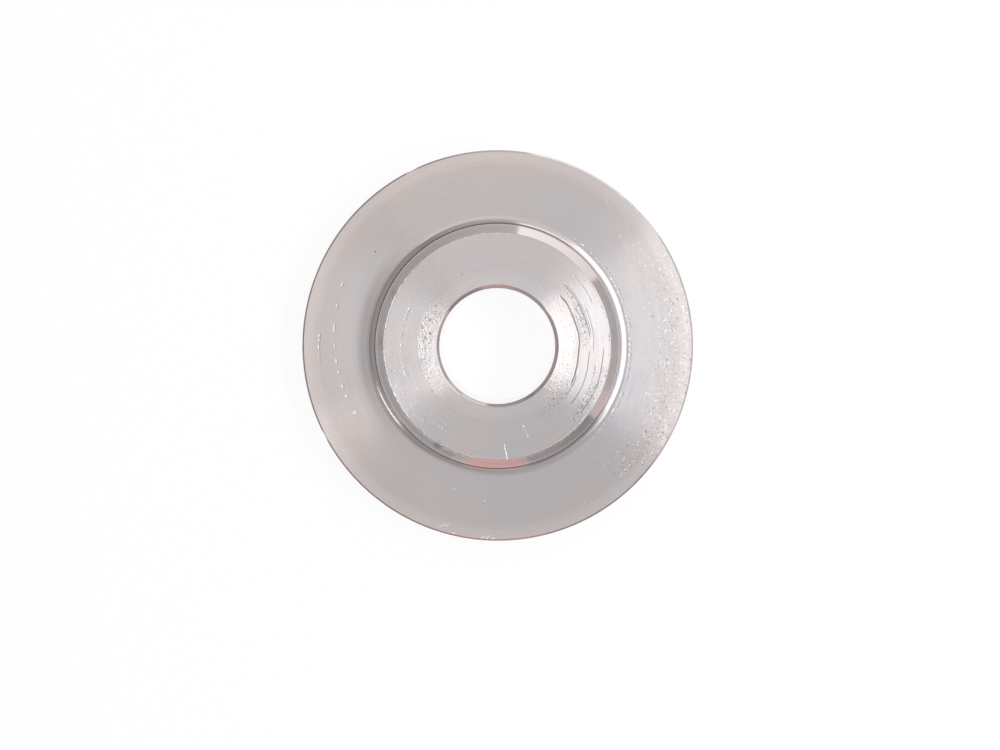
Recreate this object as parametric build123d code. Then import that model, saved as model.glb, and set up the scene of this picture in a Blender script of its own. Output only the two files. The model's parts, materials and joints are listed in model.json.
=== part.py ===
"""A shoulder washer, turned from one piece of round bar.

A flat round flange carries a raised round boss on its front face, and a plain hole for a bolt runs
through both. The boss has a chamfer round its top edge, and its foot runs into the flange's face in a
round that touches both. The rim's edges are broken a little flatter than 45 degrees.

Lengths are in millimetres. The origin is at the centre of the hole, on the flat back face. +Z runs
along the hole, from the back face to the top of the boss.
"""

from build123d import *
import os

# Driving dimensions
outer_diameter = 42.0
flange_thickness = 3.0
boss_diameter = 25.7
boss_height = 3.0
bore_diameter = 12.1

# Edges, and the round at the boss's foot
boss_chamfer = 1.0
bore_chamfer = 0.35
root_radius = 1.2
rim_break_width = 0.2
rim_break_height = 0.17

# Places that follow from the dimensions above
outer_radius = outer_diameter / 2
boss_radius = boss_diameter / 2
bore_radius = bore_diameter / 2
total_thickness = flange_thickness + boss_height


def plain_section():
    """The half section with the rim's edges broken and its other corners square.

    Its x is the distance from the axis, and its y is the height above the back face.
    """
    rim_edge = outer_radius - rim_break_width
    outline = Polyline(
        (bore_radius, 0),
        (rim_edge, 0),
        (outer_radius, rim_break_height),
        (outer_radius, flange_thickness - rim_break_height),
        (rim_edge, flange_thickness),
        (boss_radius, flange_thickness),
        (boss_radius, total_thickness),
        (bore_radius, total_thickness),
        close=True,
    )
    return make_face(outline)


def corner(section, radius, height):
    """The section's corner nearest to that distance from the axis and that height."""
    return section.vertices().sort_by_distance((radius, height, 0))[0]


def half_section():
    """The half section with the round at the boss's foot and the chamfers on the boss and the hole."""
    section = plain_section()
    section = fillet(corner(section, boss_radius, flange_thickness), root_radius)
    section = chamfer(corner(section, boss_radius, total_thickness), boss_chamfer)
    for height in (0, total_thickness):
        section = chamfer(corner(section, bore_radius, height), bore_chamfer)
    return section


def shoulder_washer():
    """The whole washer: its half section turned once round the hole's axis."""
    return revolve(Plane.XZ * half_section(), axis=Axis.Z)


os.makedirs("parts", exist_ok=True)
export_step(shoulder_washer(), "parts/shoulder_washer.step")
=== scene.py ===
"""The looks of a shoulder washer that was turned from one piece of steel bar.

The washer's surface is one profile carried round the axis of its hole, with the small lips that the
lathe tool left and the dents that it got later. Its finishes are cut grooves, pits and scratches in
bare steel. The rest is a plain studio: a pale floor, two soft lamps, cards for the steel to mirror, and
a camera above.

Lengths are in metres and angles in degrees, in the CAD part's own frame: the origin is at the centre of
the hole on the flat back face, +Z runs to the top of the boss, +X is the photograph's right, and +Y is
its top. Azimuths are counted from +X towards +Y. Materials read their place in millimetres, so the
marks, the dents and the finishes are in millimetres too, and so are the cards.
"""

import json
import logging
import math
from dataclasses import dataclass, field
from enum import Enum

import bpy
import numpy as np
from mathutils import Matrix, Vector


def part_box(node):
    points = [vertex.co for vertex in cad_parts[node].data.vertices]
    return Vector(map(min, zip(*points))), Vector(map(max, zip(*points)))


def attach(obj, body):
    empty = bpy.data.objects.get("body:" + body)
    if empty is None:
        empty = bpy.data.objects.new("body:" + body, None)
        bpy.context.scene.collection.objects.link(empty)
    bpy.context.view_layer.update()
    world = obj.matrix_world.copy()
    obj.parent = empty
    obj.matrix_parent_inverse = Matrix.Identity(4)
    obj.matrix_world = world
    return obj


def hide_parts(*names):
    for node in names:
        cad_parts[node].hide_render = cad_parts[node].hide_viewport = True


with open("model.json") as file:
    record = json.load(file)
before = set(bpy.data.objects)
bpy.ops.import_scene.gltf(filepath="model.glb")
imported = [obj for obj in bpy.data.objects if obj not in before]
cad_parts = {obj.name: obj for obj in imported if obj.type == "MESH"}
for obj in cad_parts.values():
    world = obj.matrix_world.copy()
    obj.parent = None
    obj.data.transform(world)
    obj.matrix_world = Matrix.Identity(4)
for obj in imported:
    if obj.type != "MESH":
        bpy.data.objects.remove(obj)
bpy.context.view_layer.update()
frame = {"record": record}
mounts = {mount["name"]: mount for mount in frame["record"]["mounts"]}

log = logging.getLogger("washer")

MM = 0.001
NODE = "shoulder_washer"
BODY = "root"

Colour = tuple[float, float, float]
WARM_STEEL: Colour = (0.75, 0.687, 0.668)
COOL_STEEL: Colour = (0.715, 0.684, 0.697)
# Dark film: real dirt in furrows, scuffs and pits, and also painted shade at the boss's foot and the
# boss's painted shadow
DIRT_AND_SHADE: Colour = (0.09, 0.08, 0.075)
RUSTY: Colour = (0.22, 0.075, 0.085)
FRESH: Colour = (1.0, 0.98, 0.965)
PAPER: Colour = (0.85, 0.85, 0.85)
WHITE: Colour = (1.0, 1.0, 1.0)

# How much of the height is taken off the radius where a texture runs in rings
HEIGHT_SHARE = 0.7
QUARTER_TURN = 0.25
# Wide enough that a noise in rings doesn't change across the washer
WIDE = 1000.0


class Surface(Enum):
    """The surfaces of the washer that are finished differently."""

    BOSS_FACE = "boss_face"
    CHAMFER = "chamfer"
    BOSS_WALL = "boss_wall"
    ROOT = "root"
    FLANGE_FACE = "flange_face"
    RIM = "rim"
    BACK = "back"
    HOLE_EDGE = "hole_edge"
    HOLE_WALL = "hole_wall"


def new_object(name: str, data: bpy.types.ID) -> bpy.types.Object:
    """An object in the scene, at the origin."""
    made = bpy.data.objects.new(name, data)
    bpy.context.scene.collection.objects.link(made)
    return made


def new_material(name: str) -> bpy.types.Material:
    """A material that is made of nodes."""
    made = bpy.data.materials.new(name)
    made.use_nodes = True
    return made


def each(kind: type, fields: str, rows: tuple[tuple, ...], **common: object) -> list:
    """Makes one thing of that kind for each row.

    Args:
        kind: The class.
        fields: The names of the fields that a row gives, with spaces between them.
        rows: Their values.
        common: What is the same for all.

    Returns:
        The things.
    """
    return [kind(**dict(zip(fields.split(), row)), **common) for row in rows]


# Shader nodes


class Value:
    """A number in a shader: an output socket on which Python's operators add Math nodes."""

    def __init__(self, graph: "Graph", socket: bpy.types.NodeSocket) -> None:
        """Holds the socket and the graph that it is in."""
        self.graph = graph
        self.socket = socket

    def math(self, operation: str, *others: "Value | float") -> "Value":
        """The result of a Math node that starts from this value, with the others as its further inputs."""
        return self.graph.value("Math", {"operation": operation}, dict(enumerate((self, *others))))

    def __add__(self, other: "Value | float") -> "Value":
        """The sum."""
        return self.math("ADD", other)

    __radd__ = __add__

    def __sub__(self, other: "Value | float") -> "Value":
        """The difference."""
        return self.math("SUBTRACT", other)

    def __rsub__(self, other: float) -> "Value":
        """The difference from a plain number."""
        return self * -1.0 + other

    def __mul__(self, other: "Value | float") -> "Value":
        """The product."""
        return self.math("MULTIPLY", other)

    __rmul__ = __mul__

    def __truediv__(self, other: "Value | float") -> "Value":
        """The quotient."""
        return self.math("DIVIDE", other)

    def __abs__(self) -> "Value":
        """The size without its sign."""
        return self.math("ABSOLUTE")

    def clamped(self) -> "Value":
        """The value kept between 0 and 1."""
        return self.math("MAXIMUM", 0.0).math("MINIMUM", 1.0)

    def step(self, low: float, high: float) -> "Value":
        """A smooth rise from 0 where the value is low to 1 where it is high.

        The node's clamp option stays off. A smooth step doesn't need it, and it takes up the memory
        that the renderer has for one shader.

        Args:
            low: The value at which the rise starts.
            high: The value at which it ends. It may be under low, for a fall.

        Returns:
            The rise.
        """
        settings = {"interpolation_type": "SMOOTHSTEP", "clamp": False}
        if low < high:
            return self.graph.value("MapRange", settings, {0: self, 1: low, 2: high})
        return 1.0 - self.graph.value("MapRange", settings, {0: self, 1: high, 2: low})


class Graph:
    """The node tree of a material or of the world."""

    def __init__(self, tree: bpy.types.NodeTree) -> None:
        """Empties the tree."""
        tree.nodes.clear()
        self.tree = tree

    def node(self, kind: str, settings: dict | None = None, inputs: dict | None = None) -> bpy.types.Node:
        """Adds a node.

        Args:
            kind: The node's type, without the word ShaderNode.
            settings: Its properties, which are set before its inputs.
            inputs: A plain value, a socket or a Value for each input, by name or by number. A plain
                colour has three parts.

        Returns:
            The node.
        """
        made = self.tree.nodes.new("ShaderNode" + kind)
        for name, setting in (settings or {}).items():
            setattr(made, name, setting)
        for key, given in (inputs or {}).items():
            source = given.socket if isinstance(given, Value) else given
            if isinstance(source, bpy.types.NodeSocket):
                self.tree.links.new(source, made.inputs[key])
            else:
                socket = made.inputs[key]
                socket.default_value = (*source, 1.0) if socket.type == "RGBA" else source
        return made

    def value(self, kind: str, settings: dict | None = None, inputs: dict | None = None) -> Value:
        """Adds a node and gives its first output as a Value. The arguments are those of node."""
        return Value(self, self.node(kind, settings, inputs).outputs[0])

    def vector_math(self, operation: str, inputs: dict) -> bpy.types.Node:
        """Adds a Vector Math node of that operation."""
        return self.node("VectorMath", {"operation": operation}, inputs)

    def distance(self, first: object, second: object) -> Value:
        """The distance between two places."""
        return Value(self, self.vector_math("DISTANCE", {0: first, 1: second}).outputs["Value"])

    def combine(self, x: Value | float, y: Value | float, z: Value | float) -> bpy.types.NodeSocket:
        """A vector of three values."""
        return self.node("CombineXYZ", inputs={0: x, 1: y, 2: z}).outputs[0]

    def noise(self, vector: bpy.types.NodeSocket, detail: float = 2.0, roughness: float = 0.5) -> Value:
        """Smooth noise, from 0 to 1 about 0.5, whose features are about one unit of the vector wide."""
        inputs = {"Vector": vector, "Scale": 1.0, "Detail": detail, "Roughness": roughness}
        return self.value("TexNoise", {"noise_dimensions": "3D"}, inputs)

    def mix(self, share: Value | float, first: object, second: object) -> bpy.types.NodeSocket:
        """A colour that goes from the first to the second as the share goes from 0 to 1."""
        settings = {"data_type": "RGBA"}
        return self.node("Mix", settings, {0: share, 6: first, 7: second}).outputs[2]

    def surface(self, shader: bpy.types.NodeSocket) -> None:
        """Gives the material that shader."""
        self.node("OutputMaterial", inputs={"Surface": shader})


class Polar(Graph):
    """A material's tree with the polar coordinates of a turned part about its Z axis, in millimetres."""

    def __init__(self, tree: bpy.types.NodeTree) -> None:
        """Adds the nodes for the distance from the axis and the direction from it.

        Args:
            tree: The node tree.
        """
        super().__init__(tree)
        metres = self.node("TexCoord").outputs["Object"]
        self.place = self.vector_math("SCALE", {0: metres, "Scale": 1.0 / MM}).outputs[0]
        split = self.node("SeparateXYZ", inputs={0: self.place})
        x, y, height = (Value(self, split.outputs[i]) for i in range(3))
        self.flat = self.combine(x, y, 0.0)
        self.radius = Value(self, self.vector_math("LENGTH", {0: self.flat}).outputs["Value"])
        self.height = height
        self.across = x / self.radius
        self.upward = y / self.radius
        self.turn = self.upward.math("ARCTAN2", self.across)

    def facing(self, azimuth: float) -> Value:
        """The cosine of the angle about the axis between the place and that azimuth."""
        turn = math.radians(azimuth)
        return self.across * math.cos(turn) + self.upward * math.sin(turn)

    def turn_from(self, azimuth: float) -> Value:
        """The angle about the axis from that azimuth to the place, in radians. Its jump is opposite."""
        return (self.turn - math.radians(azimuth)).math("WRAP", math.pi, -math.pi)

    def rings(self, turns: float, width: float, shift: float = 0.0) -> bpy.types.NodeSocket:
        """A vector for textures that run round the axis and close on themselves.

        Round the axis it follows a circle, so a feature one unit wide is 1 / turns radians long. Most
        of the height is taken off the radius, so that walls and chamfers have grooves too.

        Args:
            turns: The radius of that circle, in the texture's units.
            width: The width of one unit across the grooves.
            shift: Moves the texture along, so that two finishes differ.

        Returns:
            The vector.
        """
        along = (self.radius - self.height * HEIGHT_SHARE) * (1.0 / width) + shift
        return self.combine(self.across * turns, self.upward * turns, along)

    def ripple(self, turns: float, width: float, shift: float = 0.0, **noise: float) -> Value:
        """Noise in such rings, less its mean of a half. The further arguments are those of noise."""
        return self.noise(self.rings(turns, width, shift), **noise) - 0.5


# Marks in the steel


@dataclass(frozen=True)
class Spot:
    """A place on the washer, by its azimuth and its distance from the axis."""

    azimuth: float
    radius: float

    def point(self) -> np.ndarray:
        """The place in the washer's flat view, in millimetres."""
        turn = math.radians(self.azimuth)
        return np.array((self.radius * math.cos(turn), self.radius * math.sin(turn), 0.0))


@dataclass(frozen=True, kw_only=True)
class Mark:
    """Something cut into a surface, with a film over it. The films are dirt, fresh steel, rust and, on
    some patches, painted shade.

    Args:
        width: Its width.
        depth: Its greatest depth.
        cover: The share of the film over the steel where it is deepest.
        film: The colour of that film. The dark default is dirt in cuts, and on the shaded patches it is
            painted shade.
    """

    width: float
    depth: float
    cover: float = 0.0
    film: Colour = DIRT_AND_SHADE

    def share(self, graph: Polar) -> Value:
        """The part of the full depth that is cut away at each place, from 0 to 1."""
        raise NotImplementedError


@dataclass(frozen=True, kw_only=True)
class Pit(Mark):
    """A small round pit."""

    place: Spot

    def share(self, graph: Polar) -> Value:
        """A smooth fall from the pit's edge to its middle."""
        return graph.distance(graph.flat, tuple(self.place.point())).step(self.width / 2, 0.0)


@dataclass(frozen=True, kw_only=True)
class Scratch(Mark):
    """A straight scratch from one place to another."""

    start: Spot
    end: Spot

    def share(self, graph: Polar) -> Value:
        """Full on the line between the two places, and nothing from half the width on.

        Args:
            graph: The material's tree.

        Returns:
            The share of the depth.
        """
        start = self.start.point()
        run = self.end.point() - start
        offset = graph.vector_math("SUBTRACT", {0: graph.flat, 1: tuple(start)}).outputs[0]
        product = graph.vector_math("DOT_PRODUCT", {0: offset, 1: tuple(run)}).outputs["Value"]
        along = (Value(graph, product) / float(run @ run)).clamped()
        nearest = graph.vector_math("SCALE", {0: tuple(run), "Scale": along}).outputs[0]
        return graph.distance(offset, nearest).step(self.width / 2, 0.0)


@dataclass(frozen=True, kw_only=True)
class Furrow(Mark):
    """A groove that the tool or a knock cut along an arc, deeper than the rest and broken here and there.

    All furrows stray by one noise and are broken by a few, because the renderer has little memory for
    the coordinates of many noises in one shader.

    Args:
        azimuths: Where it starts and ends.
        radii: Its distance from the axis there, which changes evenly between them.
        gaps: The share of its length that is missing.
        bead: The length of a piece that is left, at 10 mm from the axis.
        wander: How far it strays from its arc, in its own widths.
        solid: The share of its length before its ends fade.
    """

    azimuths: tuple[float, float]
    radii: tuple[float, float]
    gaps: float = 0.0
    bead: float = 0.6
    wander: float = 1.2
    solid: float = 0.85

    def share(self, graph: Polar) -> Value:
        """Full on the wandering line, with both sides and both ends fading out.

        Args:
            graph: The material's tree.

        Returns:
            The share of the depth.
        """
        first, last = self.azimuths
        half = math.radians(last - first) / 2
        centre = sum(self.radii) / 2
        drift = (self.radii[1] - self.radii[0]) / (2 * half)
        turn = graph.turn_from((first + last) / 2)
        stray = graph.ripple(turns=4.0, width=WIDE, shift=5.0)
        offset = graph.radius - turn * drift - stray * (self.width * self.wander) - centre
        line = abs(offset).step(self.width / 2, 0.0) * abs(turn).step(half, half * self.solid)
        if self.gaps == 0.0:
            return line
        return line * self.pieces(graph)

    def pieces(self, graph: Polar) -> Value:
        """1 on the pieces that are left.

        They are where a noise is over a level that rises with the gaps.

        Args:
            graph: The material's tree.

        Returns:
            The mask.
        """
        lowest, rise, blur = 0.3, 0.4, 0.1
        level = lowest + rise * self.gaps
        beads = graph.noise(graph.rings(turns=10.0 / self.bead, width=0.4), detail=1.0)
        return beads.step(level, level + blur)


@dataclass(frozen=True, kw_only=True)
class Pits(Mark):
    """Many small pits, longer round the washer than across.

    Args:
        share_pitted: The share of the cells of a pattern that have a pit.
        followed_circle: Distance from the axis at which the pits are as long as they are wide.
        brink: Distance from a pit's middle at which it starts, in cells.
        bottom: Distance within which it has its full depth, in cells.
        doubtful: The share of the chosen cells whose pits are shallower.
    """

    share_pitted: float
    followed_circle: float = 6.0
    brink: float = 0.42
    bottom: float = 0.05
    doubtful: float = 0.4

    def share(self, graph: Polar) -> Value:
        """A dimple at the point of each chosen cell, in cells that are stretched round the axis.

        Args:
            graph: The material's tree.

        Returns:
            The share of the depth.
        """
        place = graph.rings(self.followed_circle / self.width, self.width, shift=3.0)
        cell = graph.node("TexVoronoi", inputs={"Vector": place, "Scale": 1.0})
        dimple = Value(graph, cell.outputs["Distance"]).step(self.brink, self.bottom)
        chosen = graph.value("SeparateColor", inputs={0: cell.outputs["Color"]})
        return dimple * chosen.step(self.share_pitted, self.share_pitted * (1.0 - self.doubtful))


@dataclass(frozen=True, kw_only=True)
class Patch(Mark):
    """A mark that fills a sector of a ring.

    Args:
        azimuth: The middle of the sector.
        half_angle: The angle from there to each side at which the patch has gone.
        radii: The ring's inner and outer radius.
    """

    azimuth: float
    half_angle: float
    radii: tuple[float, float]

    def sector(self, graph: Polar) -> Value:
        """1 at the middle of the sector, falling smoothly to 0 at its sides."""
        return graph.facing(self.azimuth).step(math.cos(math.radians(self.half_angle)), 1.0)


@dataclass(frozen=True, kw_only=True)
class StainAndShade(Patch):
    """A soft patch of film: a rust-coloured film on the rim, and painted shadow where the boss shades the
    root and the flange. Its width is what it takes to fade out at the ring's edges.
    """

    depth: float = 0.0

    def share(self, graph: Polar) -> Value:
        """Full within the ring at the middle azimuth, and fading to all sides.

        Args:
            graph: The material's tree.

        Returns:
            The share of the film.
        """
        (low, high), half = self.radii, self.width / 2
        within = self.sector(graph) * graph.radius.step(low - half, low + half)
        return within * graph.radius.step(high + half, high - half)


@dataclass(frozen=True, kw_only=True)
class Scuffs(Patch):
    """A patch of small dings from handling, longer round the washer than across.

    Args:
        length: The length of a ding.
        density: How much of the middle is covered, from 0 to 1.
        softness: The share of the ring's width over which the dings thin out.
    """

    length: float
    density: float
    softness: float = 0.25

    def share(self, graph: Polar) -> Value:
        """The peaks of a noise, cut off lower down in the middle of the patch than at its edges.

        Args:
            graph: The material's tree.

        Returns:
            The share of the depth.
        """
        low, high = self.radii
        fade = self.softness * (high - low)
        within = self.sector(graph) * graph.radius.step(low, low + 2 * fade)
        within = within * graph.radius.step(high, high - fade)
        place = graph.rings(sum(self.radii) / 2 / self.length, self.width, shift=17.0)
        lift, start, full, border = 0.3, 0.74, 0.82, 0.1
        peaks = graph.noise(place, detail=1.0) + within * (lift * self.density)
        return peaks.step(start, full) * within.step(0.0, border)


# Finishes


@dataclass(frozen=True)
class Grain:
    """Short torn marks between a finish's grooves, as a height that goes up and down.

    Args:
        width: Size of a mark across the grooves.
        length: Its size along them, halfway out on the washer.
        height: How far it goes up and down.
        halfway: That distance from the axis.
    """

    width: float
    length: float
    height: float
    halfway: float = 13.0

    def relief(self, graph: Polar) -> Value:
        """The height of the marks, which is noise that is longer than it is wide."""
        return graph.ripple(self.halfway / self.length, self.width, shift=11.0, detail=1.5) * self.height


@dataclass(frozen=True)
class Grooves:
    """The tool's grooves round the axis.

    Args:
        width: Width of a groove.
        height: Its height. Its slope is about half its height over its width.
        turns: How often a groove changes round the axis.
        lean: Slope of the long flank that the tool's edge leaves, positive where it faces outwards.
        lean_from: Distance from the axis at which that flank starts.
        broader: How much wider the broad grooves under the fine ones are.
        broad_share: How much higher they are.
    """

    width: float
    height: float
    turns: float = 2.0
    lean: float = 0.0
    lean_from: float = 0.0
    broader: float = 4.3
    broad_share: float = 1.6

    def relief(self, graph: Polar) -> Value:
        """The height of the grooves: fine and broad noise stretched round the axis, less the lean.

        Args:
            graph: The material's tree.

        Returns:
            The height.
        """
        fine = graph.ripple(self.turns, self.width, detail=2.0, roughness=0.6)
        broad = graph.ripple(self.turns, self.width * self.broader, shift=7.0, detail=1.0)
        height = (fine + broad * self.broad_share) * self.height
        if self.lean == 0.0:
            return height
        return height - (graph.radius - self.lean_from).math("MAXIMUM", 0.0) * self.lean


@dataclass(frozen=True)
class Torn:
    """Two zones at the hole that the tool tore where it should have cut, with a wavy outer edge.

    They are at the left and at the right, and fade out towards the top and the bottom.

    Args:
        inside: Distance of its edge from the axis.
        stray: How far the edge strays to both sides.
        extra_roughness: What it adds to the finish's roughness.
        grain: Its torn marks.
        pits: The pits in it.
        edge: How wide the edge is.
    """

    inside: float
    stray: float
    extra_roughness: float
    grain: Grain
    pits: Pits
    edge: float = 0.25

    def share(self, graph: Polar) -> Value:
        """1 in the zones and 0 outside them.

        The wave is mostly within a quarter of 0, so four times as much makes the stray.

        Args:
            graph: The material's tree.

        Returns:
            The mask.
        """
        wave = graph.ripple(turns=2.4, width=WIDE, shift=23.0) * (4 * self.stray)
        near = (graph.radius + wave).step(self.inside + self.edge, self.inside)
        return near * abs(graph.across).step(low=0.6, high=0.9)


@dataclass(frozen=True)
class Tone:
    """The steel's colour on a surface, with soft patches of a warmer and a cooler grey.

    Args:
        paleness: A factor on both greys.
        warms: Distances from the axis between which the patches turn from cool to warm.
        pales: Distances between which the steel gets paler still.
        paler: How much paler it is past them.
        patch: Size of a patch.
        warmth: How far the patches turn.
    """

    paleness: float = 1.0
    warms: tuple[float, float] | None = None
    pales: tuple[float, float] | None = None
    paler: float = 0.0
    patch: float = 5.0
    warmth: float = 0.3

    def colour(self, graph: Polar) -> bpy.types.NodeSocket:
        """Mixes the greys by a noise and scales the result.

        Args:
            graph: The material's tree.

        Returns:
            The colour.
        """
        vector = graph.vector_math("SCALE", {0: graph.place, "Scale": 1.0 / self.patch}).outputs[0]
        cool = graph.noise(vector, detail=3.0)
        if self.warms:
            cool = cool + graph.radius.step(*self.warms) * -self.warmth + self.warmth / 2
        coolness = cool.step(low=0.32, high=0.68)
        shade = self.grey(graph, coolness, self.paleness)
        if self.pales is None:
            return shade
        pale = self.grey(graph, coolness, self.paleness * (1.0 + self.paler))
        return graph.mix(graph.radius.step(*self.pales), shade, pale)

    def grey(self, graph: Polar, coolness: Value, paleness: float) -> bpy.types.NodeSocket:
        """Mixes the warm and the cool grey, both scaled by the paleness."""
        greys = (tuple(part * paleness for part in tone) for tone in (WARM_STEEL, COOL_STEEL))
        return graph.mix(coolness, *greys)


@dataclass(frozen=True, kw_only=True)
class TurnedFinish:
    """Bare steel as the lathe left it: fine grooves round the axis, with pits, scratches and dings.

    Args:
        surface: The surface that it is on.
        roughness: The roughness of the shine.
        anisotropy: How much further the shine spreads across the grooves than along them.
        grooves: The tool's grooves.
        grain: The marks between them.
        torn: The torn zone round the hole.
        tone: The colour.
        painted_shade_inside: Distance from the axis within which the shade in the corner at the boss's
            foot is painted in as a dark film.
        marks: What is cut into it.
        unevenness: How far the roughness goes up and down.
        painted_shade_share: How much of the steel that painted shade hides.
        painted_shade_fade: How far the painted shade takes to fade out.
    """

    surface: Surface
    roughness: float
    anisotropy: float
    grooves: Grooves
    grain: Grain | None = None
    torn: Torn | None = None
    tone: Tone = Tone()
    painted_shade_inside: float = 0.0
    marks: tuple[Mark, ...] = ()
    unevenness: float = 0.12
    painted_shade_share: float = 0.6
    painted_shade_fade: float = 0.15

    def material(self) -> bpy.types.Material:
        """Builds the material.

        Returns:
            The Blender material, with its shine stretched across the grooves.
        """
        made = new_material("turned_steel_" + self.surface.value)
        graph = Polar(made.node_tree)
        height = self.grooves.relief(graph)
        worn = graph.ripple(turns=6.0, width=0.4, shift=1.0, detail=3.0)
        roughness = worn * self.unevenness + self.roughness
        if self.grain:
            height = height + self.grain.relief(graph)
        if self.torn:
            torn = self.torn.share(graph)
            height = height + self.torn.grain.relief(graph) * torn
            height = height - self.torn.pits.share(graph) * torn * self.torn.pits.depth
            roughness = roughness + torn * self.torn.extra_roughness
        shade = self.tone.colour(graph)
        # Painted shade: the corner at the foot of the boss, which lies in shade, is darkened inside that
        # radius
        if self.painted_shade_inside > 0.0:
            corner_shade = graph.radius.step(self.painted_shade_inside, self.painted_shade_inside - self.painted_shade_fade)
            shade = graph.mix(corner_shade * self.painted_shade_share, shade, DIRT_AND_SHADE)
        for mark in self.marks:
            share = mark.share(graph)
            height = height - share * mark.depth
            if mark.cover > 0.0:
                shade = graph.mix(share * mark.cover, shade, mark.film)
        bump = graph.node("Bump", inputs={"Height": height, "Distance": MM, "Strength": 1.0})
        steel = graph.node(
            "BsdfPrincipled",
            inputs={
                "Base Color": shade,
                "Metallic": 1.0,
                "Roughness": roughness,
                "Anisotropic": self.anisotropy,
                "Anisotropic Rotation": QUARTER_TURN,
                "Normal": bump.outputs[0],
            },
        )
        graph.surface(steel.outputs[0])
        return made


# The washer


@dataclass(frozen=True)
class Corner:
    """A corner of the half section, and the straight run that follows it.

    Args:
        radius: Distance from the axis.
        height: Height above the back face.
        surface: What the arc that replaces the corner belongs to.
        run: What the straight run after it belongs to.
        rows: Faces along that run.
        rounding: Radius of the arc.
        steps: Faces along the arc.
    """

    radius: float
    height: float
    surface: Surface
    run: Surface
    rows: int
    rounding: float = 0.03 * MM
    steps: int = 2

    def point(self) -> np.ndarray:
        """The corner as an array."""
        return np.array((self.radius, self.height))


@dataclass(frozen=True)
class Lip:
    """A low ridge of pushed-up steel that a tool left all round a face, highest at its outer edge.

    It is uneven: its height changes round the axis with a few waves and many small teeth, by their
    shares of the waviness.
    """

    edge: float
    width: float
    height: float
    waviness: float
    wave_share: float = 0.25
    tooth_share: float = 0.35

    def lift(self, radius: np.ndarray, turn: np.ndarray) -> np.ndarray:
        """How far the ridge raises the surface.

        It starts level, at its width inside the edge, and gets steeper up to the edge, as the square of
        the distance. At and outside the edge it is at its full height and falls to nothing within a
        third of its width.

        Args:
            radius: Distance from the axis of each vertex.
            turn: Angle round the axis of each vertex, in radians.

        Returns:
            The rise of each vertex.
        """

        def wave(count: int, phase: float = 0.0) -> np.ndarray:
            """That many waves round the axis."""
            return np.sin(count * turn + phase)

        inside = np.clip((radius - self.edge + self.width) / self.width, 0.0, 1.0)
        outside = np.clip(1.0 - (radius - self.edge) / (self.width / 3), 0.0, 1.0)
        waves = wave(5, phase=0.7) + wave(23, phase=1.0) * wave(7)
        teeth = wave(131, phase=2.0) * wave(17, phase=1.5) + wave(83)
        uneven = 1.0 + self.waviness * (self.wave_share * waves + self.tooth_share * teeth)
        return self.height * np.maximum(uneven, 0.0) * inside**2 * outside


@dataclass(frozen=True, kw_only=True)
class Dent:
    """A knock: a smooth hollow, longer round the washer or across, that pushes the surface down and in.

    Its sizes are in millimetres, and the vertices are in metres.
    """

    place: Spot
    length: float
    width: float
    depth: float

    def sink(self, radius: np.ndarray, turn: np.ndarray) -> np.ndarray:
        """How deep the hollow is: a bell curve round the axis times one across.

        Args:
            radius: Distance from the axis of each vertex.
            turn: Angle round the axis of each vertex, in radians.

        Returns:
            The depth at each vertex.
        """
        apart = (turn - math.radians(self.place.azimuth) + np.pi) % (2 * np.pi) - np.pi
        along = apart * self.place.radius / (self.length / 2)
        across = (radius / MM - self.place.radius) / (self.width / 2)
        return self.depth * MM * np.exp(-(along**2) - across**2)


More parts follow.
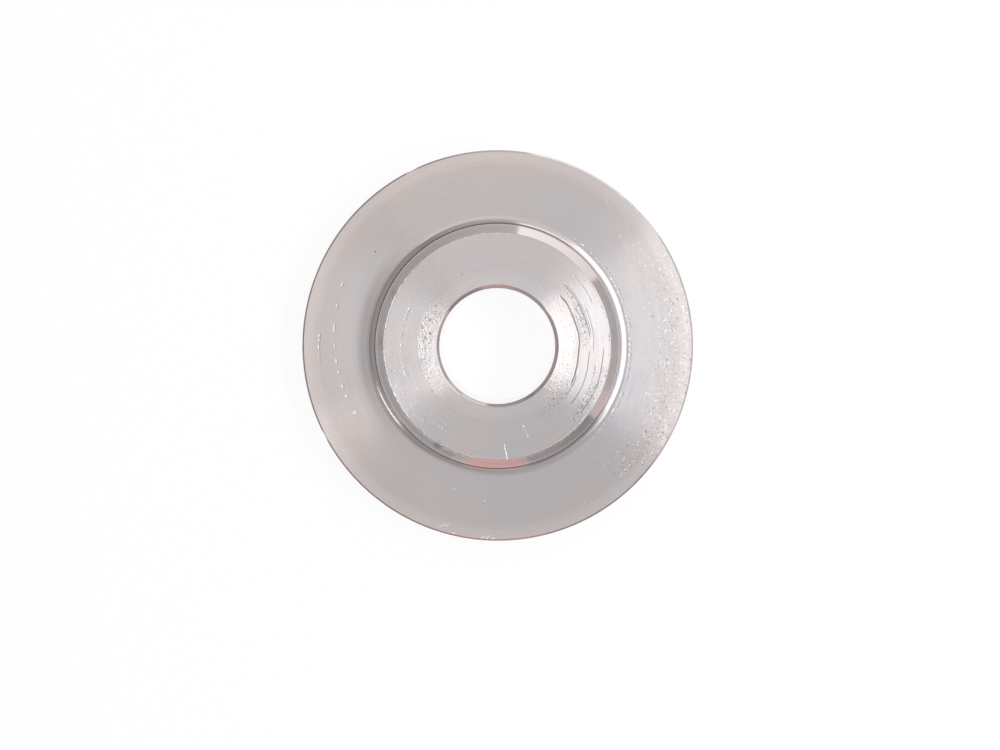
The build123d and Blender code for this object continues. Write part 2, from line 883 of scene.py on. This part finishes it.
@dataclass
class Washer:
    """The whole washer, as one closed surface of revolution with its lips and dents.

    Lips and dents reach as far down from the flange's face as the dented depth.
    """

    boss_chamfer: float = 1.0 * MM
    hole_chamfer: float = 0.35 * MM
    root_radius: float = 1.2 * MM
    rim_break_width: float = 0.2 * MM
    rim_break_height: float = 0.17 * MM
    dented_depth: float = 0.255 * MM
    around: int = 720
    outer_radius: float = field(init=False)
    boss_radius: float = field(init=False)
    hole_radius: float = field(init=False)
    flange_top: float = field(init=False)
    boss_top: float = field(init=False)

    def __post_init__(self) -> None:
        """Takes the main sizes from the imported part."""
        _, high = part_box(NODE)
        self.outer_radius = high[0]
        self.boss_top = high[2]
        self.flange_top = mounts["flange_face"]["pos_m"][2]
        self.boss_radius = mounts["boss"]["dims"]["r_mm"] * MM
        self.hole_radius = mounts["bore"]["dims"]["r_mm"] * MM

    @property
    def boss_edge(self) -> float:
        """The radius of the boss's face."""
        return self.boss_radius - self.boss_chamfer

    @property
    def rim_edge(self) -> float:
        """The radius of the flange's faces."""
        return self.outer_radius - self.rim_break_width

    def corners(self) -> list[Corner]:
        """The corners of the half section, from the hole's lower chamfer outwards, up and back in.

        Returns:
            The corners.
        """
        s = Surface
        hole_edge = self.hole_radius + self.hole_chamfer
        rim_low, rim_high = self.rim_break_height, self.flange_top - self.rim_break_height
        chamfer_foot = self.boss_top - self.boss_chamfer
        hole_top = self.boss_top - self.hole_chamfer
        return [
            Corner(self.hole_radius, self.hole_chamfer, s.HOLE_EDGE, s.HOLE_EDGE, 3),
            Corner(hole_edge, 0.0, s.HOLE_EDGE, s.BACK, 12),
            Corner(self.rim_edge, 0.0, s.RIM, s.RIM, 3),
            Corner(self.outer_radius, rim_low, s.RIM, s.RIM, 5),
            Corner(self.outer_radius, rim_high, s.RIM, s.RIM, 3),
            Corner(self.rim_edge, self.flange_top, s.RIM, s.FLANGE_FACE, 34),
            Corner(self.boss_radius, self.flange_top, s.ROOT, s.BOSS_WALL, 2, self.root_radius, 14),
            Corner(self.boss_radius, chamfer_foot, s.CHAMFER, s.CHAMFER, 5),
            Corner(self.boss_edge, self.boss_top, s.CHAMFER, s.BOSS_FACE, 26),
            Corner(hole_edge, self.boss_top, s.HOLE_EDGE, s.HOLE_EDGE, 3),
            Corner(self.hole_radius, hole_top, s.HOLE_EDGE, s.HOLE_WALL, 5),
        ]

    def profile(self) -> tuple[np.ndarray, list[Surface]]:
        """The half section as a closed ring of points.

        Each corner is an arc between its two tangent points, and each run has rows that crowd towards
        its ends by a cosine, so that flat faces stay flat up to their edges.

        Returns:
            The points, as distance from the axis and height, and the surface of the face after each.
        """
        corners = self.corners()
        arcs = []
        for before, corner, after in zip(corners[-1:] + corners[:-1], corners, corners[1:] + corners[:1]):
            back = before.point() - corner.point()
            on = after.point() - corner.point()
            back = back / np.linalg.norm(back)
            on = on / np.linalg.norm(on)
            turn = math.pi - math.acos(float(back @ on))
            reach = corner.rounding * math.tan(turn / 2)
            middle = (back + on) / np.linalg.norm(back + on)
            centre = corner.point() + middle * corner.rounding / math.cos(turn / 2)
            share = np.linspace(0.0, 1.0, corner.steps + 1)[:, None]
            first = corner.point() + back * reach - centre
            last = corner.point() + on * reach - centre
            swept = (np.sin((1 - share) * turn) * first + np.sin(share * turn) * last) / math.sin(turn)
            arcs.append(centre + swept)
        points, surfaces = [], []
        for corner, arc, following in zip(corners, arcs, arcs[1:] + arcs[:1]):
            share = 0.5 - 0.5 * np.cos(np.pi * np.arange(corner.rows) / corner.rows)[:, None]
            run = arc[-1] + (following[0] - arc[-1]) * share
            points += [arc[:-1], run]
            surfaces += [corner.surface] * corner.steps + [corner.run] * corner.rows
        return np.concatenate(points), surfaces

    def lips(self) -> list[Lip]:
        """The ridges that the tool left at the boss's edge and at the rim."""
        return [
            Lip(edge=self.boss_edge, width=0.11 * MM, height=0.008 * MM, waviness=0.6),
            Lip(edge=self.rim_edge, width=0.3 * MM, height=0.006 * MM, waviness=0.8),
        ]

    def dents(self) -> list[Dent]:
        """The knocks along the rim and the boss's edge, where the photograph shows them.

        Returns:
            The dents.
        """
        rim = self.outer_radius / MM
        return each(Dent, "place length width depth", (
            (Spot(50.0, rim), 1.0, 0.4, 0.08),
            (Spot(44.0, rim), 1.4, 0.4, 0.06),
            (Spot(116.3, rim), 0.9, 0.4, 0.06),
            (Spot(207.5, rim), 0.8, 0.4, 0.07),
            (Spot(331.0, 20.6), 0.9, 0.4, 0.05),
            (Spot(334.5, 20.3), 0.6, 0.5, 0.04),
            (Spot(1.5, 20.2), 0.3, 0.9, 0.05),
            (Spot(239.0, 11.85), 0.5, 0.3, 0.07),
            (Spot(153.0, 11.9), 0.6, 0.2, 0.05),
            (Spot(177.5, 11.9), 1.2, 0.15, 0.03),
        ))

    def mesh(self) -> bpy.types.Object:
        """Builds the washer's mesh: the profile carried round the axis on a closed grid.

        A vertex at distance r and turn t is at (r cos t, r sin t), and faces that look up are raised by
        the lips and lowered by the dents.

        Returns:
            The object, with a material slot for each surface.
        """
        points, surfaces = self.profile()
        rows, columns = len(points), self.around
        turn = np.linspace(0.0, 2 * np.pi, columns, endpoint=False)[None, :]
        radius = np.repeat(points[:, :1], columns, axis=1)
        height = np.repeat(points[:, 1:], columns, axis=1)
        upper = points[:, 1:] > self.flange_top - self.dented_depth
        lift = sum(lip.lift(radius, turn) for lip in self.lips())
        sink = sum(dent.sink(radius, turn) for dent in self.dents())
        height = height + upper * (lift - sink)
        radius = radius - upper * sink * (radius > self.rim_edge)
        grid = np.stack((radius * np.cos(turn), radius * np.sin(turn), height), axis=-1)
        row, column = np.meshgrid(np.arange(rows), np.arange(columns), indexing="ij")
        on, right = (row + 1) % rows, (column + 1) % columns
        faces = np.stack(
            (row * columns + column, row * columns + right, on * columns + right, on * columns + column),
            axis=-1,
        )
        data = bpy.data.meshes.new(NODE + "_surface")
        data.from_pydata(grid.reshape(-1, 3), [], faces.reshape(-1, 4))
        order = list(Surface)
        index = np.repeat([order.index(surface) for surface in surfaces], columns)
        data.polygons.foreach_set("material_index", index)
        data.polygons.foreach_set("use_smooth", np.ones(len(index), dtype=bool))
        data.update()
        return new_object("washer_surface", data)

    def boss_marks(self) -> tuple[Mark, ...]:
        """What is cut into the boss's face: dark arcs at the right, glints at the left, two scratches.

        Returns:
            The marks.
        """
        line = {"width": 0.18, "depth": 0.025, "cover": 0.75, "bead": 0.2}
        fine = {"width": 0.14, "depth": 0.02, "cover": 0.6}
        glint = {"width": 0.22, "depth": 0.05, "cover": 0.95, "film": FRESH}
        edge = {"width": 0.22, "depth": 0.03, "cover": 0.9, "film": FRESH, "wander": 0.3}
        side = (self.boss_edge / MM - 0.08,) * 2
        glints = ((173.4, 10.8), (161.7, 9.44), (198.2, 9.7), (184.9, 10.6), (193.3, 11.3))
        return (
            Furrow(azimuths=(-30, 41), radii=(8.55, 8.45), width=0.3, depth=0.06, wander=1.0, cover=0.75),
            *each(Furrow, "azimuths radii gaps", (
                ((-36, -20), (8.82, 8.76), 0.0),
                ((4, 44), (9.68, 9.48), 0.0),
                ((-40, -2), (9.79, 9.62), 0.0),
                ((-40, -10), (10.62, 10.4), 0.4),
                ((-42, -18), (10.9, 10.88), 0.4),
                ((-40, 0), (11.12, 11.08), 0.0),
                ((-25, 38), (11.66, 11.66), 0.55),
            ), **line),
            *each(Furrow, "azimuths radii gaps bead", (
                ((6, 42), (9.84, 9.66), 0.0, 0.2),
                ((24, 43), (10.87, 10.9), 0.0, 0.2),
                ((0, 26), (8.75, 8.8), 0.5, 0.2),
                ((-4, 32), (10.02, 10.08), 0.3, 0.6),
            ), **fine),
            Furrow(azimuths=(150, 200), radii=(9.96, 9.98), **glint, gaps=0.5, bead=0.2),
            *each(Furrow, "azimuths gaps bead", (
                ((126, 264), 0.25, 0.4),
                ((-64, -34), 0.2, 0.4),
                ((80, 126), 0.6, 0.2),
            ), radii=side, **edge),
            *each(Scuffs, "azimuth half_angle radii width length depth density cover film", (
                (20, 30, (8.5, 9.8), 0.12, 0.2, 0.012, 0.75, 0.55, DIRT_AND_SHADE),
                (-28, 26, (9.8, 11.9), 0.12, 0.2, 0.012, 0.6, 0.55, DIRT_AND_SHADE),
                (-38, 22, (6.6, 9.4), 0.13, 0.18, 0.012, 0.6, 0.5, DIRT_AND_SHADE),
                (178, 50, (6.2, 8.6), 0.17, 0.3, 0.02, 0.9, 0.9, FRESH),
                (176, 46, (6.2, 8.5), 0.14, 0.2, 0.03, 0.52, 0.6, DIRT_AND_SHADE),
                (205, 42, (8.2, 12.1), 0.15, 0.22, 0.03, 0.4, 0.9, FRESH),
            )),
            Scratch(start=Spot(274.3, 10.29), end=Spot(275.4, 11.87), width=0.15, depth=0.02,
                    cover=0.65, film=FRESH),
            Scratch(start=Spot(288.5, 8.69), end=Spot(288.9, 10.02), width=0.12, depth=0.012,
                    cover=0.6, film=FRESH),
            Pit(place=Spot(288.5, 8.72), width=0.2, depth=0.03),
            Pit(place=Spot(169.6, 7.1), width=0.34, depth=0.03, cover=0.9),
            *(Pit(place=Spot(azimuth, radius), **glint) for azimuth, radius in glints),
            Pit(place=Spot(116, 8.34), width=0.3, depth=0.01, cover=0.5),
            Pits(width=0.16, depth=0.02, share_pitted=0.03),
        )

    def flange_marks(self) -> tuple[Mark, ...]:
        """What is cut into the flange's face, and the boss's shadow at its left, painted as a grey patch.

        Glints are at the left, nicks at the bottom and scuffs at the right. The row of dashes comes
        nearer to the axis by the slant for each degree.

        Returns:
            The marks.
        """
        nick = {"width": 0.24, "depth": 0.04, "cover": 0.95, "film": FRESH}
        spot = {"width": 0.26, "depth": 0.05, "cover": 0.9, "film": FRESH}
        glint = {"width": 0.3, "depth": 0.05, "cover": 0.95, "film": FRESH, "wander": 0.3}
        row_start, row_radius, slant = 156, 17.93, 0.0198
        dashes = ((157.5, 159.3), (165.4, 167.0), (172.5, 175.2), (179.5, 180.5), (184.5, 186.4),
                  (188.7, 190.1), (194.0, 195.4), (197.7, 199.1), (204.2, 205.9))
        nicks = ((252.4, 20.35, 253.5, 19.85), (254.2, 20.1, 255.0, 19.65), (256.8, 20.66, 257.2, 20.5),
                 (265.4, 20.66, 266.3, 20.35), (266.9, 20.7, 267.7, 20.3), (268.6, 20.7, 269.3, 20.55))
        spots = ((253.1, 16.0), (265.3, 16.7), (154.6, 15.9), (157.5, 19.1), (199.0, 15.8))
        return (
            *(Furrow(azimuths=ends, radii=(row_radius - (ends[0] - row_start) * slant,) * 2, **glint)
              for ends in dashes),
            Furrow(azimuths=(176, 187), radii=(19.15, 19.2), **glint, gaps=0.4, bead=0.2),
            Furrow(azimuths=(-50, 58), radii=(14.22, 14.16), **nick, gaps=0.55, bead=0.2),
            Furrow(azimuths=(-42, 45), radii=(14.38, 14.34), width=0.2, depth=0.03, gaps=0.5, bead=0.2,
                   cover=0.5),
            # Painted shadow: the boss's shadow falling on the flange at the left, painted as a grey patch
            StainAndShade(azimuth=178, half_angle=50, radii=(13.0, 14.9), width=1.0, cover=0.22),
            Scratch(start=Spot(245, 14.8), end=Spot(252, 16.3), width=0.5, depth=0.01),
            *(Scratch(start=Spot(*row[:2]), end=Spot(*row[2:]), **nick) for row in nicks),
            *(Pit(place=Spot(azimuth, radius), **spot) for azimuth, radius in spots),
            Pit(place=Spot(142.5, 16.55), width=0.28, depth=0.01, cover=0.85),
            *each(Scuffs, "azimuth half_angle radii width length depth density cover film", (
                (-4, 66, (14.6, 21.8), 0.22, 0.36, 0.025, 0.43, 0.85, FRESH),
                (-12, 54, (15.4, 22.0), 0.17, 0.24, 0.02, 0.36, 0.65, DIRT_AND_SHADE),
            )),
        )

    def rim_marks(self) -> tuple[Mark, ...]:
        """The dull film on the rim at the left, at the top and along the bottom."""
        film = {"radii": (20.0, 22.0), "width": 0.4, "film": RUSTY}
        rows = ((205, 125, 0.5), (304, 34, 0.3), (124, 36, 0.3))
        return tuple(each(StainAndShade, "azimuth half_angle cover", rows, **film))

    def finishes(self) -> list[TurnedFinish]:
        """The finish of each surface.

        Returns:
            The finishes.
        """
        smooth = Grooves(width=0.2, height=0.001)
        torn_grain = Grain(width=0.13, length=0.4, height=0.045)
        return [
            TurnedFinish(
                surface=Surface.BOSS_FACE, roughness=0.285, anisotropy=0.95,
                grooves=Grooves(width=0.1, height=0.013, lean=0.08, lean_from=6.0),
                grain=Grain(width=0.14, length=0.7, height=0.014),
                torn=Torn(inside=8.05, stray=0.25, extra_roughness=0.1, grain=torn_grain,
                          pits=Pits(width=0.18, depth=0.05, share_pitted=0.25)),
                tone=Tone(paleness=1.11, pales=(8.2, 7.0), paler=0.07), marks=self.boss_marks(),
            ),
            TurnedFinish(surface=Surface.CHAMFER, roughness=0.13, anisotropy=0.4, grooves=smooth,
                         tone=Tone(paleness=0.85)),
            TurnedFinish(surface=Surface.BOSS_WALL, roughness=0.2, anisotropy=0.5, grooves=smooth),
            # Painted shade and shadow: the dark corner at the boss's foot, and the boss's shadow across
            # the root at the left
            TurnedFinish(surface=Surface.ROOT, roughness=0.2, anisotropy=0.4, grooves=smooth,
                         painted_shade_inside=13.25,
                         marks=(StainAndShade(azimuth=182, half_angle=62, radii=(13.65, 15.0),
                                      width=0.25, cover=0.4),)),
            TurnedFinish(
                surface=Surface.FLANGE_FACE, roughness=0.235, anisotropy=0.95,
                grooves=Grooves(width=0.12, height=0.005, turns=3.0, lean=0.02),
                grain=Grain(width=0.2, length=0.7, height=0.01),
                tone=Tone(paleness=1.05, warms=(14.5, 20.0), pales=(19.0, 20.4),
                          paler=0.12),
                marks=self.flange_marks(),
            ),
            TurnedFinish(surface=Surface.RIM, roughness=0.18, anisotropy=0.5, tone=Tone(paleness=0.88),
                         grooves=Grooves(width=0.12, height=0.002), marks=self.rim_marks()),
            TurnedFinish(surface=Surface.BACK, roughness=0.3, anisotropy=0.95,
                         grooves=Grooves(width=0.12, height=0.005, turns=3.0),
                         grain=Grain(width=0.2, length=0.7, height=0.015)),
            TurnedFinish(surface=Surface.HOLE_EDGE, roughness=0.13, anisotropy=0.4, grooves=smooth),
            TurnedFinish(surface=Surface.HOLE_WALL, roughness=0.06, anisotropy=0.4, grooves=smooth,
                         tone=Tone(paleness=1.3), unevenness=0.02),
        ]

    def build(self) -> bpy.types.Object:
        """Makes the washer, dresses it and puts it in place of the plain solid.

        Returns:
            The finished piece.
        """
        washer = self.mesh()
        made = {finish.surface: finish.material() for finish in self.finishes()}
        for surface in Surface:
            washer.data.materials.append(made[surface])
        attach(washer, BODY)
        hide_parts(NODE)
        log.info("%s: %d faces", washer.name, len(washer.data.polygons))
        return washer


# The stage


@dataclass(frozen=True)
class Card:
    """A curved card that stands round the washer, out of the picture, for the steel to mirror.

    Only the mirror image of it is seen: it is hidden from the camera and takes no light away. Its
    colour goes evenly from its first end to its last, and fades at the ends over the soft angle. The
    rise is how much higher its first end is. Its lengths are in millimetres.
    """

    name: str
    azimuths: tuple[float, float]
    radius: float
    heights: tuple[float, float]
    colours: tuple[Colour, Colour]
    soft: float = 0.0
    rise: float = 0.0
    steps: int = 90

    def build(self) -> None:
        """Makes the card: a strip of a cylinder about the washer's axis."""
        turn = np.radians(np.linspace(*self.azimuths, self.steps + 1))
        ring = np.stack((self.radius * np.cos(turn), self.radius * np.sin(turn)), -1)
        slant = np.linspace(self.rise, 0.0, self.steps + 1)
        edges = [np.insert(ring, 2, height + slant, axis=1) for height in self.heights]
        column = np.arange(self.steps)
        faces = np.stack((column + 1, column, column + self.steps + 1, column + self.steps + 2), -1)
        data = bpy.data.meshes.new(self.name)
        data.from_pydata(np.concatenate(edges) * MM, [], faces)
        data.materials.append(self.material())
        card = new_object(self.name, data)
        card.visible_camera = False
        card.visible_diffuse = False
        card.visible_shadow = False
        card.visible_transmission = False

    def material(self) -> bpy.types.Material:
        """A lit material whose colour runs along the card, and which is clear at its soft ends.

        Returns:
            The Blender material.
        """
        made = new_material(self.name)
        graph = Polar(made.node_tree)
        first, last = self.azimuths
        half = math.radians(last - first) / 2
        turn = graph.turn_from((first + last) / 2)
        colour = graph.mix(turn * (0.5 / half) + 0.5, *self.colours)
        shown = graph.node("Emission", inputs={"Color": colour, "Strength": 1.0}).outputs[0]
        if self.soft > 0.0:
            there = abs(turn).step(half, half - math.radians(self.soft))
            clear = graph.node("BsdfTransparent").outputs[0]
            shown = graph.node("MixShader", inputs={0: there, 1: clear, 2: shown}).outputs[0]
        graph.surface(shown)
        return made


@dataclass(frozen=True, kw_only=True)
class Lamp:
    """A rectangular soft lamp that faces the washer from that direction."""

    name: str
    azimuth: float
    elevation: float
    length: float
    height: float
    brightness: float
    distance: float = 0.6
    colour: Colour = WHITE

    def build(self) -> None:
        """Adds the lamp. Its power is its brightness times pi times its area."""
        data = bpy.data.lights.new(self.name, "AREA")
        data.shape = "RECTANGLE"
        data.size = self.length
        data.size_y = self.height
        data.energy = self.brightness * math.pi * self.length * self.height
        data.color = self.colour
        lamp = new_object(self.name, data)
        azimuth, elevation = math.radians(self.azimuth), math.radians(self.elevation)
        level = self.distance * math.cos(elevation)
        lamp.location = (
            level * math.cos(azimuth),
            level * math.sin(azimuth),
            self.distance * math.sin(elevation),
        )
        lamp.rotation_euler = (math.pi / 2 - elevation, 0.0, azimuth + math.pi / 2)


@dataclass
class Room:
    """A plain grey room, brighter towards the left and towards the top of the picture.

    Args:
        brightness: Straight above the washer.
        rightward: What the brightness gains towards the right.
        upward: What it gains towards the top of the picture.
        coolness: How cool the tint is straight above the washer, from 0 to 1.
        cooler_rightward: What the coolness gains towards the right.
    """

    brightness: float = 0.667
    rightward: float = -0.2
    upward: float = 0.24
    coolness: float = 0.3
    cooler_rightward: float = 2.5
    warm: Colour = (1.0, 0.96, 0.94)
    cool: Colour = (0.92, 0.95, 1.0)

    def build(self) -> None:
        """Makes the world's shader. Its tint is cooler at the right and the bottom."""
        world = bpy.context.scene.world or bpy.data.worlds.new("room")
        bpy.context.scene.world = world
        world.use_nodes = True
        graph = Graph(world.node_tree)
        direction = graph.node("TexCoord").outputs["Generated"]
        split = graph.node("SeparateXYZ", inputs={0: direction})
        across, up = (Value(graph, split.outputs[i]) for i in range(2))
        bright = across * self.rightward + up * self.upward + self.brightness
        coolness = (across * self.cooler_rightward + self.coolness - up).clamped()
        tint = graph.mix(coolness, self.warm, self.cool)
        light = graph.node("Background", inputs={"Color": tint, "Strength": bright})
        graph.node("OutputWorld", inputs={"Surface": light.outputs[0]})


@dataclass
class Studio:
    """The pale floor, the lamps, the cards, the room and the camera above the washer."""

    camera_above_flange: float = 100.0 * MM
    pixels_per_metre: float = 9320.0
    picture_width: int = 1000
    picture_height: int = 750
    washer_pixel: tuple[float, float] = (497.7, 345.5)
    camera_off_axis: tuple[float, float] = (2.0 * MM, 2.2 * MM)
    floor_side: float = 3.0
    floor_glow: float = 0.93
    card_radius: float = 46.0
    card_gap: float = 2.0
    far_card_radius: float = 300.0
    sensor_width: float = 36.0
    nearest_seen: float = 1.0 * MM

    def floor(self) -> None:
        """A pale floor that keeps a faint shadow, and shows white to the camera and in reflections."""
        half = self.floor_side / 2
        data = bpy.data.meshes.new("floor")
        corners = [(-half, -half, 0), (half, -half, 0), (half, half, 0), (-half, half, 0)]
        data.from_pydata(corners, [], [(0, 1, 2, 3)])
        floor = new_object("floor", data)
        material = new_material("pale_floor")
        graph = Graph(material.node_tree)
        path = graph.node("LightPath").outputs
        seen = Value(graph, path["Is Camera Ray"]) + Value(graph, path["Is Glossy Ray"])
        seen = (seen + Value(graph, path["Is Transmission Ray"])).clamped()
        paper = graph.node("BsdfDiffuse", inputs={"Color": PAPER})
        white = graph.node("Emission", inputs={"Color": WHITE, "Strength": 1.0})
        share = seen * self.floor_glow
        shown = graph.node("MixShader", inputs={0: share, 1: paper.outputs[0], 2: white.outputs[0]})
        graph.surface(shown.outputs[0])
        floor.data.materials.append(material)

    def cards(self) -> list[Card]:
        """The cards that the steel mirrors.

        They are grey all round, with a pale window, a streak of light and a few coloured ones. The near
        ones stand a little inside the ring of the others.

        Returns:
            The cards.
        """
        window, white = (1.4, 1.45, 1.55), (2.2, 2.2, 2.2)
        pale, paler = (1.1, 1.06, 1.06), (1.5, 1.47, 1.45)
        bright, top, fading = (0.84, 0.82, 0.82), (0.7, 0.675, 0.675), (0.64, 0.62, 0.62)
        grey, middle, turning = (0.57, 0.555, 0.55), (0.5, 0.48, 0.48), (0.5, 0.475, 0.475)
        shade, dark, dusk = (0.42, 0.405, 0.4), (0.37, 0.35, 0.35), (0.34, 0.32, 0.32)
        deep, low_light = (0.3, 0.285, 0.285), (0.24, 0.225, 0.225)
        red, pink = (0.86, 0.43, 0.385), (0.8, 0.68, 0.68)
        ring, near, far = self.card_radius, self.card_radius - self.card_gap, self.far_card_radius
        low, band, high, tall = (0.0, 4.5), (0.0, 9.0), (0.0, 32.0), (0.0, 50.0)
        return [
            Card("card_right", (-32, 47), ring, low, (grey, grey)),
            Card("card_far", (-60, 60), far, tall, (shade, shade)),
            Card("card_window", (-42, 56), far, (50.0, 357.0), (window, window), soft=5.0),
            Card("card_top_right", (55, 88), ring, high, (bright, fading)),
            Card("card_top", (88, 130), ring, high, (fading, low_light)),
            Card("card_left", (130, 240), ring, tall, (dusk, dark)),
            Card("card_bottom", (240, 286), ring, high, (dark, middle)),
            Card("card_bottom_right", (286, 328), ring, high, (middle, fading)),
            Card("card_low_bottom", (284, 322), near, (0.0, 14.0), (dusk, deep)),
            Card("card_middle_top", (82, 116), near, (4.5, 14.0), (shade, shade)),
            Card("card_low_top", (81.5, 130), near, low, (top, turning)),
            Card("card_low_left", (130, 248), near, low, (turning, deep)),
            Card("card_pale", (33, 81.5), near, (0.0, 9.5), (pale, paler), soft=2.0),
            Card("card_red", (251.5, 285), near, band, (red, red), soft=6.0),
            Card("card_pink", (321, 339), near, band, (pink, pink), soft=3.0),
            Card("card_streak", (198, 221), near, (11.0, 19.0), (white, white), soft=4.0, rise=14.0),
        ]

    def lamps(self) -> list[Lamp]:
        """A long soft lamp at the right, and a small one at the lower left."""
        rows = (("long_lamp", 2, 43, 0.63, 0.09, 18), ("small_lamp", 208, 50, 0.08, 0.08, 1.2))
        return each(Lamp, "name azimuth elevation length height brightness", rows)

    def camera(self) -> None:
        """A camera that looks straight down a little beside the axis, shifted to place the washer."""
        data = bpy.data.cameras.new("camera")
        focal_pixels = self.pixels_per_metre * self.camera_above_flange
        data.sensor_width = self.sensor_width
        data.lens = data.sensor_width * focal_pixels / self.picture_width
        aside, along = (self.pixels_per_metre * off for off in self.camera_off_axis)
        data.shift_x = (self.picture_width / 2 - self.washer_pixel[0] - aside) / self.picture_width
        data.shift_y = (self.washer_pixel[1] - self.picture_height / 2 - along) / self.picture_width
        data.clip_start = self.nearest_seen
        camera = new_object("camera", data)
        height = mounts["flange_face"]["pos_m"][2] + self.camera_above_flange
        camera.location = (*self.camera_off_axis, height)
        bpy.context.scene.camera = camera

    def build(self) -> None:
        """Sets up the whole stage."""
        self.camera()
        self.floor()
        Room().build()
        for part in (*self.cards(), *self.lamps()):
            part.build()
        bpy.context.scene.view_settings.view_transform = "Standard"
        counts = len(self.cards()), len(self.lamps())
        log.info("stage: camera, floor, room, %d cards and %d lamps", *counts)


def main() -> None:
    """Builds the washer and its stage."""
    logging.basicConfig(level=logging.INFO, format="%(name)s: %(message)s")
    Washer().build()
    Studio().build()


if __name__ == "__main__":
    main()
